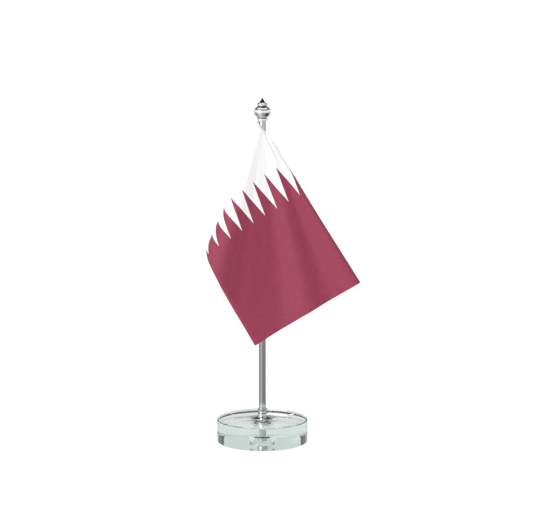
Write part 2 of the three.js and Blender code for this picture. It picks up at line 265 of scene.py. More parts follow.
def eased(outline, amount, closed=True):
    """Rounds an outline's corners with short curves."""
    points = [np.array(point, float) for point in (outline[:-1] if closed else outline)]
    count = len(points)
    result = []
    for index, point in enumerate(points):
        if not closed and index in (0, count - 1):
            result.append(tuple(point))
            continue
        before = points[index - 1] - point
        after = points[(index + 1) % count] - point
        before_length = np.linalg.norm(before)
        after_length = np.linalg.norm(after)
        turn = math.degrees(math.acos(np.clip(-before @ after / before_length / after_length, -1, 1)))
        cut = min(amount, before_length * 0.45, after_length * 0.45)
        if turn < 12 or (point[0] <= 0):
            result.append(tuple(point))
            continue
        start = point + before / before_length * cut
        end = point + after / after_length * cut
        result.append(tuple(start))
        result += curve_points(start, point, end, 4)
    if closed:
        result.append(result[0])
    return result


def turned(name, outline, segments=SMALL_SEGMENTS, centre=(0.0, 0.0)):
    """A solid of revolution from (radius, height) points, as the frame's outlines run."""
    closed = outline[0] == outline[-1]
    points = outline[:-1] if closed else outline
    vertices = []
    rings = []
    for radius, height in points:
        if radius <= 1e-9:
            rings.append([len(vertices)] * segments)
            vertices.append((centre[0], centre[1], height))
            continue
        rings.append(list(range(len(vertices), len(vertices) + segments)))
        for index in range(segments):
            angle = 2 * math.pi * index / segments
            vertices.append((
                centre[0] + radius * math.cos(angle),
                centre[1] + radius * math.sin(angle),
                height,
            ))
    faces = []
    pairs = list(zip(rings, rings[1:]))
    if closed:
        pairs.append((rings[-1], rings[0]))
    for lower, upper in pairs:
        for index in range(segments):
            after = (index + 1) % segments
            corners = [lower[index], lower[after], upper[after], upper[index]]
            face = tuple(dict.fromkeys(corners))
            if len(face) > 2:
                faces.append(face)
    return new_piece(name, vertices, faces)


def join(name, pieces):
    """Joins mesh objects into the first, under a new name."""
    with bpy.context.temp_override(
        active_object=pieces[0], object=pieces[0],
        selected_objects=pieces, selected_editable_objects=pieces,
    ):
        bpy.ops.object.join()
    pieces[0].name = name
    return pieces[0]


# ---- Material graphs ----------------------------------------------------------------

class Nodes:
    """A short way to write a node tree."""

    def __init__(self, tree):
        self.tree = tree

    def fill(self, sockets, values):
        """Fills sockets: another socket is linked, and a plain value is set."""
        for key, value in values.items():
            if isinstance(value, bpy.types.NodeSocket):
                self.tree.links.new(value, sockets[key])
            else:
                sockets[key].default_value = value

    def node(self, kind, inputs=None, **settings):
        made = self.tree.nodes.new("ShaderNode" + kind)
        for key, value in settings.items():
            setattr(made, key, value)
        self.fill(made.inputs, inputs or {})
        return made

    def math(self, operation, first, second=0.0, third=0.0):
        return self.node("Math", {0: first, 1: second, 2: third}, operation=operation).outputs[0]

    def lerp(self, share, first, second):
        return self.node("Mix", {0: share, 2: first, 3: second}, data_type="FLOAT").outputs[0]


class Graph(Nodes):
    """A material's nodes."""

    def __init__(self, name):
        self.material = bpy.data.materials.new(name)
        self.material.use_nodes = True
        super().__init__(self.material.node_tree)
        self.shader = self.tree.nodes["Principled BSDF"]
        self.output = self.tree.nodes["Material Output"]

    def position(self):
        return self.node("TexCoord").outputs["Object"]

    def stretched(self, scale):
        """Object coordinates scaled separately along X, Y and Z."""
        return self.node("Mapping", {"Vector": self.position(), "Scale": scale}).outputs[0]

    def noise(self, vector, scale, detail=3.0, roughness=0.5):
        values = {"Vector": vector, "Scale": scale, "Detail": detail, "Roughness": roughness}
        return self.node("TexNoise", values).outputs["Fac"]

    def remap(self, value, low, high, start=0.3, end=0.7):
        values = {"Value": value, "From Min": start, "From Max": end, "To Min": low, "To Max": high}
        return self.node("MapRange", values).outputs["Result"]

    def mix(self, share, first, second):
        return self.node("Mix", {0: share, 6: first, 7: second}, data_type="RGBA").outputs[2]

    def bump(self, height, strength, distance_mm):
        values = {"Height": height, "Strength": strength, "Distance": distance_mm * MM}
        return self.node("Bump", values).outputs[0]

    def shade(self, inputs):
        self.fill(self.shader.inputs, inputs)
        return self.material


def glass_material():
    graph = Graph("clear_glass")
    haze = graph.noise(graph.position(), 180.0, 5.0)
    waves = graph.noise(graph.position(), 35.0, 1.0)
    absorb = graph.node("VolumeAbsorption", {"Color": (0.56, 0.67, 0.635, 1.0), "Density": 12.0})
    graph.tree.links.new(absorb.outputs[0], graph.output.inputs["Volume"])
    tint = graph.mix(haze, (0.985, 0.995, 0.99, 1.0), (1.0, 1.0, 1.0, 1.0))
    return graph.shade({
        "Base Color": tint,
        "Roughness": graph.remap(haze, 0.0, 0.012),
        "Normal": graph.bump(waves, 0.05, 0.02),
        "Transmission Weight": 1.0,
        "IOR": 1.52,
    })


def frosted_glass_material():
    graph = Graph("ground_glass")
    grain = graph.noise(graph.position(), 5200.0, 4.0)
    rings = graph.noise(graph.stretched((60.0, 60.0, 2400.0)), 1.0, 2.0)
    tint = graph.mix(grain, (0.95, 0.985, 0.975, 1.0), (1.0, 1.0, 1.0, 1.0))
    return graph.shade({
        "Base Color": tint,
        "Roughness": graph.remap(grain, 0.12, 0.2),
        "Normal": graph.bump(rings, 0.25, 0.05),
        "Transmission Weight": 1.0,
        "IOR": 1.52,
    })


def clear_pad_material():
    graph = Graph("clear_pad")
    cloud = graph.noise(graph.position(), 900.0, 4.0)
    tint = graph.mix(cloud, (0.95, 0.97, 0.96, 1.0), (1.0, 1.0, 1.0, 1.0))
    return graph.shade({
        "Base Color": tint,
        "Roughness": graph.remap(cloud, 0.05, 0.16),
        "Normal": graph.bump(cloud, 0.06, 0.05),
        "Transmission Weight": 1.0,
        "IOR": 1.15,
    })


def metal_material(name, dark, light, rough, scratch_scale, bump_mm=0.004, painted_shade_grooves=()):
    """A metal with a lay of fine marks, a smudged gloss and painted shade that darkens the colour in its
    grooves.
    """
    graph = Graph(name)
    smudge = graph.noise(graph.position(), 110.0, 4.0)
    marks = graph.noise(graph.stretched(scratch_scale), 1.0, 3.0, 0.6)
    both = graph.math("MULTIPLY_ADD", marks, 0.5, graph.math("MULTIPLY", smudge, 0.5))
    colour = graph.mix(smudge, dark, light)
    # Painted shade: each groove's colour turns dark towards its middle height.
    for height, half_width in painted_shade_grooves:
        up = graph.node("SeparateXYZ", {0: graph.position()}).outputs[2]
        away = graph.math("ABSOLUTE", graph.math("SUBTRACT", up, height * MM))
        share = graph.remap(away, 1.0, 0.0, half_width * 0.5 * MM, half_width * MM)
        colour = graph.mix(share, colour, GROOVE_PAINTED_SHADE)
    return graph.shade({
        "Base Color": colour,
        "Roughness": graph.remap(both, *rough),
        "Normal": graph.bump(marks, 0.12, bump_mm),
        "Metallic": 1.0,
    })


def rubber_material():
    graph = Graph("black_rubber")
    grain = graph.noise(graph.position(), 2600.0, 5.0)
    return graph.shade({
        "Base Color": graph.mix(grain, (0.012, 0.012, 0.013, 1.0), (0.04, 0.04, 0.042, 1.0)),
        "Roughness": graph.remap(grain, 0.62, 0.9),
        "Normal": graph.bump(grain, 0.35, 0.05),
    })


def nylon_material():
    graph = Graph("nylon")
    grain = graph.noise(graph.position(), 1400.0, 3.0)
    return graph.shade({
        "Base Color": graph.mix(grain, (0.78, 0.78, 0.72, 1.0), (0.88, 0.88, 0.84, 1.0)),
        "Roughness": graph.remap(grain, 0.35, 0.55),
        "Normal": graph.bump(grain, 0.12, 0.03),
        "Subsurface Weight": 0.2,
        "Subsurface Scale": 0.001,
    })


def cord_material():
    graph = Graph("white_cord")
    fibre = graph.noise(graph.position(), 3800.0, 5.0, 0.65)
    soil = graph.noise(graph.position(), 160.0, 2.0)
    clean = graph.mix(fibre, (0.74, 0.74, 0.73, 1.0), (0.93, 0.93, 0.92, 1.0))
    return graph.shade({
        "Base Color": graph.mix(graph.remap(soil, 0.0, 0.25), clean, (0.8, 0.79, 0.76, 1.0)),
        "Roughness": graph.remap(fibre, 0.7, 0.95),
        "Normal": graph.bump(fibre, 0.5, 0.08),
        "Sheen Weight": 0.25,
        "Sheen Roughness": 0.6,
    })


def cloth_material(name, thread=False):
    """Printed polyester: the design in flat-cloth coordinates, a plain weave and slubs."""
    graph = Graph(name)
    flat = graph.node("SeparateXYZ", {0: graph.node("UVMap", uv_map="cloth").outputs[0]})
    along = graph.math("MULTIPLY", flat.outputs[0], FLY)
    down = graph.math("MULTIPLY", flat.outputs[1], HOIST)

    slip = graph.math("POWER", graph.math("SUBTRACT", 1.0, flat.outputs[1]), 4.0)
    printed_down = graph.math("MULTIPLY_ADD", slip, -PRINT_SLIP / HOIST, flat.outputs[1])
    tooth = graph.math("FRACT", graph.math("MULTIPLY", printed_down, float(DESIGN_POINTS)))
    away = graph.math("ABSOLUTE", graph.math("MULTIPLY_ADD", tooth, 2.0, -1.0))
    edge = graph.math("MULTIPLY_ADD", away, MAROON_TIP - WHITE_TIP, WHITE_TIP)
    past = graph.math("SUBTRACT", along, edge)
    ragged = graph.math("MULTIPLY_ADD", graph.noise(graph.position(), 1500.0, 2.0), 0.5, past)
    inked = graph.remap(ragged, 0.0, 1.0, 0.0, 0.5)
    rim = graph.math("MULTIPLY", inked, graph.remap(ragged, 1.0, 0.0, 0.5, 3.2))

    fabric = graph.node("CombineXYZ", {0: along, 1: down}).outputs[0]
    weft = graph.node("Mapping", {"Vector": fabric, "Scale": (0.14, 2.2, 1.0)}).outputs[0]
    warp = graph.node("Mapping", {"Vector": fabric, "Scale": (2.2, 0.14, 1.0)}).outputs[0]
    slubs = graph.math("ADD", graph.noise(weft, 1.0, 2.0), graph.noise(warp, 1.0, 2.0))
    grain = graph.noise(fabric, 0.55, 3.0, 0.6)
    over = graph.math("SINE", graph.math("MULTIPLY", along, 2 * math.pi / WEAVE_PITCH))
    under = graph.math("SINE", graph.math("MULTIPLY", down, 2 * math.pi / WEAVE_PITCH))
    weave = graph.math("MULTIPLY", over, under)

    ink = graph.mix(graph.remap(grain, 0.0, 1.0), MAROON_DEEP, MAROON)
    ink = graph.mix(graph.math("MULTIPLY", rim, 0.55), ink, PRINT_RIM)
    white = graph.mix(graph.remap(grain, 0.0, 1.0), (0.93, 0.935, 0.93, 1.0), PRINT_WHITE)
    printed = graph.mix(inked, white, ink)
    shade = graph.remap(graph.math("MULTIPLY_ADD", weave, 0.08, slubs), 0.82, 1.15, 0.8, 1.2)
    ink_shade = graph.math("MULTIPLY_ADD", inked, graph.math("SUBTRACT", shade, 1.0), 1.0)
    colour = graph.node("VectorMath", {0: printed, 1: ink_shade}, operation="MULTIPLY").outputs[0]
    height = graph.math("MULTIPLY_ADD", weave, 0.5, slubs)
    return graph.shade({
        "Base Color": colour,
        "Roughness": graph.remap(slubs, 0.5, 0.64, 0.75, 1.25),
        "Normal": graph.bump(height, 0.6, 0.04 if thread else 0.10),
        "Sheen Weight": 0.12,
        "Sheen Roughness": 0.45,
        "Specular IOR Level": 0.5,
    })


chrome_dark = (0.74, 0.75, 0.76, 1.0)
chrome_light = (0.86, 0.865, 0.87, 1.0)
glass = glass_material()
ground_glass = frosted_glass_material()
clear_pad = clear_pad_material()
chrome = metal_material("polished_chrome", chrome_dark, chrome_light, (0.03, 0.08), (90.0, 90.0, 900.0))
base_chrome = metal_material(
    "base_chrome", (0.50, 0.505, 0.51, 1.0), (0.62, 0.625, 0.63, 1.0), (0.04, 0.10), (90.0, 90.0, 900.0))
pole_chrome = metal_material(
    "pole_chrome", (0.51, 0.515, 0.52, 1.0), (0.60, 0.605, 0.61, 1.0),
    (0.10, 0.18), (1800.0, 1800.0, 25.0))
steel = metal_material(
    "plated_steel", (0.50, 0.51, 0.51, 1.0), (0.66, 0.67, 0.67, 1.0),
    (0.22, 0.42), (300.0, 300.0, 2200.0), 0.01)
brass = metal_material(
    "insert_brass", (0.60, 0.42, 0.17, 1.0), (0.74, 0.56, 0.26, 1.0),
    (0.22, 0.38), (300.0, 300.0, 2200.0), 0.01)
rubber = rubber_material()
nylon = nylon_material()
cord_finish = cord_material()
cloth_finish = cloth_material("printed_cloth")
thread_finish = cloth_material("printed_thread", thread=True)


# ---- Camera, light and floor --------------------------------------------------------

def make_camera():
    data = bpy.data.cameras.new("camera")
    data.lens = CAMERA_LENS
    data.clip_end = 50.0
    camera = bpy.data.objects.new("camera", data)
    bpy.context.scene.collection.objects.link(camera)
    elevation = math.radians(CAMERA_ELEVATION)
    back = Vector((0.0, -math.cos(elevation), math.sin(elevation)))
    camera.location = CAMERA_TARGET_M + back * CAMERA_DISTANCE_M
    camera.rotation_mode = "QUATERNION"
    camera.rotation_quaternion = (-back).to_track_quat("-Z", "Y")
    bpy.context.scene.camera = camera


def make_light():
    data = bpy.data.lights.new("key", "AREA")
    data.shape = "DISK"
    data.size = KEY_SIZE_M
    data.energy = KEY_POWER
    light = bpy.data.objects.new("key", data)
    bpy.context.scene.collection.objects.link(light)
    light.location = KEY_PLACE_M
    light.rotation_mode = "QUATERNION"
    light.rotation_quaternion = (KEY_AIM_M - light.location).to_track_quat("-Z", "Y")


def make_world():
    """A white studio, with the dim room and the dark cards that chrome and glass show."""
    world = bpy.data.worlds.new("studio")
    bpy.context.scene.world = world
    world.use_nodes = True
    world.node_tree.nodes.clear()
    nodes = Nodes(world.node_tree)
    node, maths, lerp = nodes.node, nodes.math, nodes.lerp

    def ramp(value, start, end, low, high):
        values = {0: value, 1: start, 2: end, 3: low, 4: high}
        return node("MapRange", values, interpolation_type="SMOOTHSTEP").outputs[0]

    def band(value, start, full, empty, end):
        """1 between full and empty, falling to 0 at start and end."""
        return maths("MULTIPLY", ramp(value, start, full, 0.0, 1.0), ramp(value, empty, end, 1.0, 0.0))

    direction = node("TexCoord").outputs["Generated"]
    parts = node("SeparateXYZ", {0: direction})
    right, back, up = parts.outputs[0], parts.outputs[1], parts.outputs[2]
    round_degrees = maths("MULTIPLY", maths("ARCTAN2", right, back), 180 / math.pi)
    off_back = maths("ABSOLUTE", round_degrees)

    # What mirrors show: a dim room low down with a dark patch on its right, white above it,
    # and at the back a grey wall with a dark stretch over it. Bearings are degrees round from
    # the back, and up is the direction's vertical part.
    mirrored = lerp(band(round_degrees, -178.0, -160.0, -130.0, -100.0), ROOM_LEVEL_LEFT, ROOM_LEVEL)
    mirrored = lerp(band(off_back, -2.0, -1.0, 50.0, 75.0), mirrored, ROOM_LEVEL_BACK)
    patch = maths(
        "MULTIPLY", band(round_degrees, 60.0, 75.0, 120.0, 150.0), band(up, -0.9, -0.8, -0.40, -0.30))
    mirrored = lerp(patch, mirrored, PATCH_LEVEL)
    mirrored = lerp(band(up, -0.12, -0.04, 2.0, 3.0), mirrored, TENT_LEVEL)
    wall = maths("MULTIPLY", band(off_back, -2.0, -1.0, 38.0, 52.0), band(up, -0.04, 0.0, 0.30, 0.36))
    mirrored = lerp(wall, mirrored, WALL_LEVEL)
    beyond = maths("MULTIPLY", band(off_back, -2.0, -1.0, 45.0, 60.0), band(up, 0.30, 0.36, 0.66, 0.76))
    mirrored = lerp(beyond, mirrored, OVER_WALL_LEVEL)

    # A dark ceiling edge, seen by chrome that leans back as the finial's point does.
    camera_up = math.sin(math.radians(CAMERA_ELEVATION))
    camera_back = math.cos(math.radians(CAMERA_ELEVATION))
    toward = maths("MULTIPLY_ADD", back, -2 * camera_back, maths("MULTIPLY_ADD", up, 2 * camera_up, 2.0))
    lean = maths("DIVIDE", maths("ADD", up, camera_up), maths("SQRT", toward))
    reach = maths("MULTIPLY_ADD", maths("MAXIMUM", up, 0.45), -60.0, off_back)
    ceiling = maths("MULTIPLY", band(lean, 0.48, 0.51, 0.62, 0.68), band(reach, 18.0, 28.0, 400.0, 401.0))
    mirrored = lerp(ceiling, mirrored, CEILING_LEVEL)

    # What shows through the glass: white, with a dark card on each side of the back.
    cards = maths("MULTIPLY", band(off_back, 48.0, 51.0, 76.0, 80.0), band(up, 0.06, 0.10, 0.30, 0.36))
    seen_through = lerp(cards, TENT_LEVEL, CARD_LEVEL)
    # What lights the matt surfaces: brighter from the back and right than from the front.
    behind = maths("MULTIPLY_ADD", right, 0.6, back)
    surround = lerp(band(behind, -0.2, 0.5, 2.0, 3.0), *MATT_LEVELS)
    path = node("LightPath")
    level = lerp(path.outputs["Is Transmission Ray"], mirrored, seen_through)
    level = lerp(path.outputs["Is Diffuse Ray"], level, surround)
    level = lerp(path.outputs["Is Camera Ray"], level, BACKDROP_LEVEL)
    shown = node("Background", {"Color": (1.0, 1.0, 1.0, 1.0), "Strength": level})
    output = node("OutputWorld", {"Surface": shown.outputs[0]})
    output.is_active_output = True


def make_floor():
    vertices = arc(FLOOR_RADIUS_M / MM, -FLOOR_DROP, SMALL_SEGMENTS)[:-1]
    floor = new_piece("floor", vertices, [tuple(range(SMALL_SEGMENTS))])
    graph = Graph("paper_floor")
    tone = graph.noise(graph.position(), 6.0, 2.0)
    tint = graph.mix(tone, (0.34, 0.34, 0.34, 1.0), (0.36, 0.36, 0.36, 1.0))
    glow = graph.mix(tone, (0.99, 0.99, 0.99, 1.0), (1.0, 1.0, 1.0, 1.0))
    floor.data.materials.append(graph.shade(
        {"Base Color": tint, "Emission Color": glow, "Roughness": 0.9, "Emission Strength": FLOOR_GLOW}))
    floor.visible_glossy = False


bpy.context.scene.view_settings.view_transform = "Standard"
make_camera()
make_world()
make_floor()
make_light()


# ---- Glass base and its clamping stack ----------------------------------------------

def glass_base():
    radius = radius_of("glass_base")
    bottom = bottom_of("glass_base")
    top = top_of("glass_base")
    ceiling = bottom_of("bore_bush")
    bore = radius_of("bore_bush") + BORE_GAP
    outline = eased([
        (RECESS_RADIUS, bottom),
        (radius - GLASS_BEVEL, bottom),
        (radius, bottom + GLASS_BEVEL),
        (radius, top - GLASS_BEVEL),
        (radius - GLASS_BEVEL, top),
        (bore, top),
        (bore, ceiling),
        (RECESS_RADIUS, ceiling),
        (RECESS_RADIUS, bottom),
    ], GLASS_EDGE_ROUND)
    base = turned("glass_disc", outline, ROUND_SEGMENTS)
    for face in base.data.polygons:
        inside = max(
            math.hypot(*base.data.vertices[index].co[:2]) for index in face.vertices
        ) < (RECESS_RADIUS + GLASS_EDGE_ROUND) * MM
        face.material_index = 1 if inside else 0
    finish_piece(base, "stand", [glass, ground_glass], ["glass_base"])


def ring(name, node, inner, body, finish, edge=0.12, segments=SMALL_SEGMENTS):
    """A plain ring with eased edges, in the place of a frame node."""
    outer = radius_of(node)
    bottom = bottom_of(node)
    top = top_of(node)
    outline = eased([
        (inner, bottom), (outer, bottom), (outer, top), (inner, top), (inner, bottom),
    ], edge)
    piece = turned(name, outline, segments)
    return finish_piece(piece, body, finish, [node])


def pad(name, node):
    """A moulded clear pad with a rounded lower edge and a slightly hollow face."""
    low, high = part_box(node)
    centre = ((low.x + high.x) / 2 / MM, (low.y + high.y) / 2 / MM)
    radius = radius_of(node)
    bottom = low.z / MM
    top = high.z / MM
    outline = [
        (0.0, bottom + 0.1),
        (radius * 0.45, bottom + 0.06),
        (radius * 0.8, bottom),
        (radius - 0.4, bottom),
        *curve_points((radius - 0.4, bottom), (radius, bottom), (radius, bottom + 0.35), 6),
        (radius, top - 0.08),
        (radius - 0.08, top),
        (0.0, top),
    ]
    piece = turned(name, outline, SMALL_SEGMENTS, centre)
    finish_piece(piece, "stand", clear_pad, [node])


def threaded(name, radius, pitch, bottom, top, segments=48):
    """A right-hand screw thread as one surface, capped at both ends."""
    depth = THREAD_DEPTH_SHARE * pitch
    rows = int((top - bottom) / pitch * THREAD_STEPS_PER_PITCH)
    vertices = []
    for row in range(rows + 1):
        height = bottom + (top - bottom) * row / rows
        fade = min(1.0, (row + 1) / THREAD_STEPS_PER_PITCH, (rows - row + 1) / THREAD_STEPS_PER_PITCH)
        for index in range(segments):
            share = index / segments
            phase = (height / pitch - share) % 1.0
            dip = max(0.0, abs(2 * phase - 1) * 1.25 - 0.15)
            reach = radius - depth * (dip * fade + 1.0 - fade)
            angle = 2 * math.pi * share
            vertices.append((reach * math.cos(angle), reach * math.sin(angle), height))
    faces = [tuple(reversed(range(segments)))]
    for row in range(rows):
        for index in range(segments):
            after = (index + 1) % segments
            low = row * segments
            high = low + segments
            faces.append((low + index, low + after, high + after, high + index))
    faces.append(tuple(range(rows * segments, (rows + 1) * segments)))
    return new_piece(name, vertices, faces)


def base_screw():
    """A socket head screw: hexagonal recess, chamfered head, threaded shank."""
    head_radius = radius_of("base_screw")
    bottom = bottom_of("base_screw")
    top = top_of("base_screw")
    shoulder = bottom_of("steel_washer")
    shank_radius = SCREW_SHANK_RADIUS
    socket_radius = SCREW_SOCKET_RADIUS
    head = turned("screw_head", eased([
        (0.0, bottom + SCREW_SOCKET_DEPTH + 0.4),
        (socket_radius, bottom + SCREW_SOCKET_DEPTH),
        (socket_radius, bottom + 0.2),
        (socket_radius + 0.25, bottom),
        (head_radius - 0.6, bottom),
        (head_radius, bottom + 0.6),
        (head_radius, shoulder),
        (shank_radius - 0.1, shoulder),
        (shank_radius - 0.1, shoulder + 1.2),
        (0.0, shoulder + 1.2),
    ], 0.1, closed=False))
    for vertex in head.data.vertices:
        across = math.hypot(vertex.co.x, vertex.co.y)
        if 1e-6 < across < (socket_radius + 0.05) * MM and vertex.co.z < shoulder * MM - 0.0005:
            turn = math.degrees(math.atan2(vertex.co.y, vertex.co.x))
            turn = turn % HEX_SECTOR - HEX_SECTOR / 2
            share = math.cos(math.radians(HEX_SECTOR / 2)) / math.cos(math.radians(turn))
            vertex.co.x *= share
            vertex.co.y *= share
    shank = threaded("screw_shank", shank_radius, M5_PITCH, shoulder + 1.0, top)
    screw = join("clamp_screw", [head, shank])
    finish_piece(screw, "stand", steel, ["base_screw"])


def rosette():
    radius = radius_of("rosette")
    bottom = bottom_of("rosette")
    top = top_of("rosette")
    edge_top = bottom + 0.9
    outline = [
        (WASHER_HOLE_RADIUS, bottom),
        (radius - 0.3, bottom),
        *curve_points((radius - 0.3, bottom), (radius, bottom), (radius, bottom + 0.3), 4),
        (radius, edge_top - 0.3),
        *curve_points((radius, edge_top - 0.3), (radius, edge_top), (radius - 0.4, edge_top), 4),
        *curve_points((radius - 0.4, edge_top), (5.9, edge_top + 0.5), (5.5, top - 0.1), 24),
        (5.4, top),
        (WASHER_HOLE_RADIUS, top),
        (WASHER_HOLE_RADIUS, bottom),
    ]
    piece = turned("pole_rosette", outline, ROUND_SEGMENTS)
    finish_piece(piece, "stand", base_chrome, ["rosette"])


def ferrule():
    radius = radius_of("ferrule")
    bottom = bottom_of("ferrule")
    top = top_of("ferrule")
    bore = radius_of("pole_tube") + PRESS_GAP
    groove = bottom + 2.4
    outline = [
        (bore, bottom),
        (radius - 0.15, bottom),
        (radius, bottom + 0.15),
        (radius, groove),
        *curve_points((radius, groove), (radius - 0.45, groove + 0.3), (radius, groove + 0.6), 10),
        (radius, top - 0.45),
        *curve_points((radius, top - 0.45), (radius, top), (radius - 0.45, top), 6),
        (bore, top),
        (bore, bottom),
    ]
    piece = turned("pole_ferrule", outline, ROUND_SEGMENTS)
    finish_piece(piece, "stand", base_chrome, ["ferrule"])


glass_base()
pad("base_cover_pad", "recess_cover")
for number in range(1, 5):
    pad(f"base_pad_{number}", f"foot_{number}")
base_screw()
ring("washer_steel", "steel_washer", WASHER_HOLE_RADIUS, "stand", steel)
ring("washer_rubber", "rubber_washer", WASHER_HOLE_RADIUS, "stand", rubber, 0.3)
ring("bush_nylon", "bore_bush", BUSH_BORE, "stand", nylon)
ring("gasket_clear", "glass_gasket", WASHER_HOLE_RADIUS, "stand", clear_pad)
rosette()
ferrule()


# ---- Pole and finial ----------------------------------------------------------------

def pole():
    ring("pole", "pole_tube", TUBE_BORE, "stand", pole_chrome, 0.15, ROUND_SEGMENTS)
    ring("pole_bottom_insert", "bottom_insert", M5_TAP_RADIUS, "stand", brass)


def neck():
    """The insert pressed into the tube's top, with the neck that the cord loop turns on."""
    bottom = bottom_of("top_insert")
    tube_top = top_of("pole_tube")
    top = top_of("top_insert")
    flange = radius_of("top_insert")
    outline = [
        (0.0, bottom),
        (TUBE_BORE - 0.25, bottom),
        (TUBE_BORE - PRESS_GAP, bottom + 0.2),
        (TUBE_BORE - PRESS_GAP, tube_top),
        (flange - 0.1, tube_top),
        (flange, tube_top + 0.1),
        (flange, tube_top + 0.3),
        (flange - 0.1, tube_top + NECK_FLANGE_THICKNESS),
        (NECK_RADIUS + 0.1, tube_top + NECK_FLANGE_THICKNESS),
        (NECK_RADIUS, tube_top + NECK_FLANGE_THICKNESS + 0.1),
        (NECK_RADIUS, top),
        (M4_TAP_RADIUS, top),
        (M4_TAP_RADIUS, top - 11.0),
        (0.0, top - 11.0),
    ]
    piece = turned("pole_neck", outline)
    finish_piece(piece, "stand", chrome, ["top_insert"])
    stud = threaded(
        "finial_thread", radius_of("finial_stud"), M4_PITCH,
        bottom_of("finial_stud"), top_of("finial_stud"))
    finish_piece(stud, "stand", steel, ["finial_stud"])
    ring("washer_nylon", "finial_washer", FINIAL_WASHER_BORE, "finial_seat", nylon, 0.1)


def finial():
    """A pointed cap over a small bulb, a large bulb and a collar, hollow for its stud."""
    low = bottom_of("finial")
    sweeps = [
        ((6.2, 0.0), (6.35, 0.35), (6.0, 0.75), 5),
        ((6.0, 0.75), (5.62, 1.4), (5.72, 2.7), 8),
        ((5.72, 2.7), (5.8, 3.1), (6.2, 3.3), 4),
        ((6.2, 3.3), (8.95, 4.8), (9.45, 9.0), 16),
        ((9.45, 9.0), (9.55, 13.2), (5.3, 15.0), 18),
        ((5.3, 15.0), (4.3, 15.4), (4.9, 15.9), 6),
        ((4.9, 15.9), (6.7, 17.2), (5.3, 18.4), 12),
        ((5.3, 18.4), (4.3, 19.3), (3.4, 19.6), 8),
    ]
    outer = [(6.2, 0.0)]
    for start, bend, end, steps in sweeps:
        outer += curve_points(start, bend, end, steps)
    outer += [(3.2, 19.92), (0.6, 24.06), (0.25, 24.62)]
    outer += curve_points((0.25, 24.62), (0.1, 24.8), (0.0, 24.8), 3)
    seat_depth = 0.85
    outline = [
        (0.0, low + 8.4),
        (M4_TAP_RADIUS, low + 8.4),
        (M4_TAP_RADIUS, low + seat_depth),
        (3.6, low + seat_depth),
        (3.6, low + 0.1),
        (3.7, low),
        (6.05, low),
        *[(radius, low + height) for radius, height in outer[1:]],
    ]
    piece = turned("finial_cap", outline, ROUND_SEGMENTS)
    # Painted shade darkens the valley under the small bulb and the groove above the collar.
    finish = metal_material(
        "finial_chrome", chrome_dark, chrome_light, (0.03, 0.08), (90.0, 90.0, 900.0),
        painted_shade_grooves=[(low + 15.6, 1.05), (low + 2.9, 0.4)])
    finish_piece(piece, "finial", finish, ["finial"])


pole()
neck()
finial()


# ---- Flag ---------------------------------------------------------------------------

def heading(angle):
    """Heading of the cloth's section at a cloth angle: 0 right, 90 front, 180 left, 270 back."""
    if angle < LEFT_FOLD_ANGLE:
        return HOIST_HEADING + (FOLD_HEADING - HOIST_HEADING) * angle / LEFT_FOLD_ANGLE
    trend = LEFT_HEADING + (RIGHT_HEADING - LEFT_HEADING) * smoothstep(angle, *HEADING_RISE)
    if angle < FRONT_START_ANGLE:
        share = (angle - LEFT_FOLD_ANGLE) / (FRONT_START_ANGLE - LEFT_FOLD_ANGLE)
        return FOLD_HEADING + (trend - FOLD_HEADING) * share
    wave = math.cos(2 * math.pi * (angle - WAVE_CREST) / WAVE_PERIOD)
    return trend + WAVE_HEADING * wave * smoothstep(angle, *WAVE_FADE)


def thread_directions():
    """Directions of the threads that leave the top corner, by small steps of cloth angle."""
    swing, lean = HOIST_SWING, HOIST_LEAN
    angles = np.arange(0.0, 90.0 + DRAPE_STEP / 2, DRAPE_STEP)
    directions = []
    for angle in angles:
        side, front = math.radians(swing), math.radians(lean)
        directions.append((
            math.sin(side) * math.cos(front),
            -math.sin(front),
            -math.cos(side) * math.cos(front),
        ))
        course = math.radians(heading(angle + DRAPE_STEP / 2))
        swing += DRAPE_STEP * math.cos(course) / math.cos(front)
        lean += DRAPE_STEP * math.sin(course)
    return angles, np.array(directions)


DRAPE_ANGLES, DRAPE_DIRECTIONS = thread_directions()


def drape(fly, hoist):
    """Points of the hung cloth at flat distances from the hoist and from the top edge."""
    fly = np.asarray(fly, float)
    hoist = np.asarray(hoist, float)
    distance = np.hypot(fly, hoist)
    angle = np.degrees(np.arctan2(fly, np.maximum(hoist, 1e-9)))
    direction = np.stack(
        [np.interp(angle, DRAPE_ANGLES, DRAPE_DIRECTIONS[:, axis]) for axis in range(3)], -1)
    direction /= np.linalg.norm(direction, axis=-1, keepdims=True)
    share = smoothstep(angle, 0.0, HOIST_BLEND_ANGLE)
    start = HOIST_TOP + (CORNER - HOIST_TOP) * share[..., None]
    free = start + direction * distance[..., None]
    reach = TIE_REACH[0] + (TIE_REACH[1] - TIE_REACH[0]) * smoothstep(angle, *TIE_REACH_ANGLES)
    let_go = start + direction * reach[..., None]
    drawn_in = TIE + (let_go - TIE) * (distance / reach)[..., None]
    return np.where((distance < reach)[..., None], drawn_in, free), angle, distance


def smooth_normal(fly, hoist):
    step = 0.5
    over, _, _ = drape(fly + step, hoist)
    under, _, _ = drape(fly - step, hoist)
    down, _, _ = drape(fly, hoist + step)
    up, _, _ = drape(fly, np.maximum(hoist - step, 0.0))
    normal = np.cross(down - up, over - under)
    return normal / np.maximum(np.linalg.norm(normal, axis=-1, keepdims=True), 1e-9)


